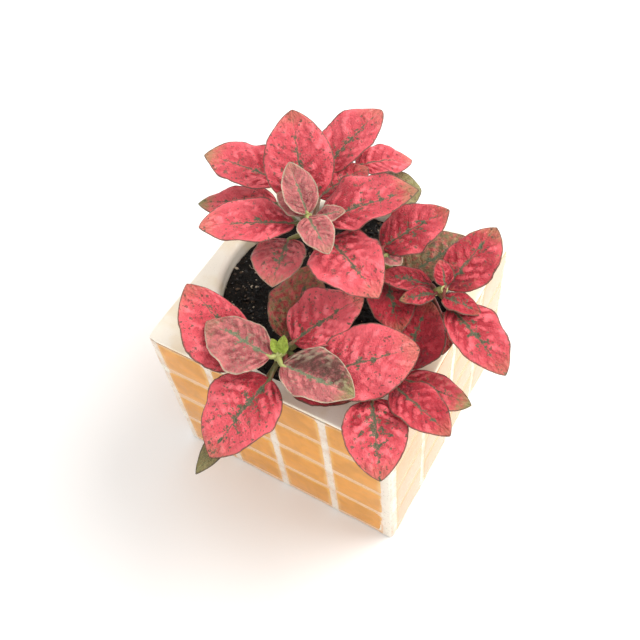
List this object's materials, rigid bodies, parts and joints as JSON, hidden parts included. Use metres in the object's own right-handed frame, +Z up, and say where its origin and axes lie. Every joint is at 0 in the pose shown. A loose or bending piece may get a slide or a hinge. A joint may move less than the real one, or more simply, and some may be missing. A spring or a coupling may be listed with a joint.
{
  "type": "potted polka dot plant",
  "caption": "Small square planter faced with glazed tiles and filled with soil, holding a polka dot plant with pink-red leaves, green veins and dark green spots.",
  "frame": {"origin": "middle of the planter's flat underside", "axes": "+Z up out of the planter's mouth, -Y out of its front tiled face, +X to the right seen from the front"},
  "size_m": [0.0956, 0.1023, 0.1007],
  "materials": {
    "planter_white": "matte",
    "amber_glaze": "polished",
    "cream_grout": "matte",
    "dark_peat": "matte",
    "polka_dot_leaf": "satin"
  },
  "bodies": {
    "root": {"pot_core": "planter_white", "tile_sheet_front": "amber_glaze", "tile_sheet_right": "amber_glaze", "tile_sheet_back": "amber_glaze", "tile_sheet_left": "amber_glaze", "grout": "cream_grout", "soil": "dark_peat", "shoot_back_left": "polka_dot_leaf", "shoot_centre_right": "polka_dot_leaf", "shoot_right": "polka_dot_leaf", "shoot_front_right": "polka_dot_leaf", "shoot_front_left": "polka_dot_leaf"}
  },
  "joints": []
}
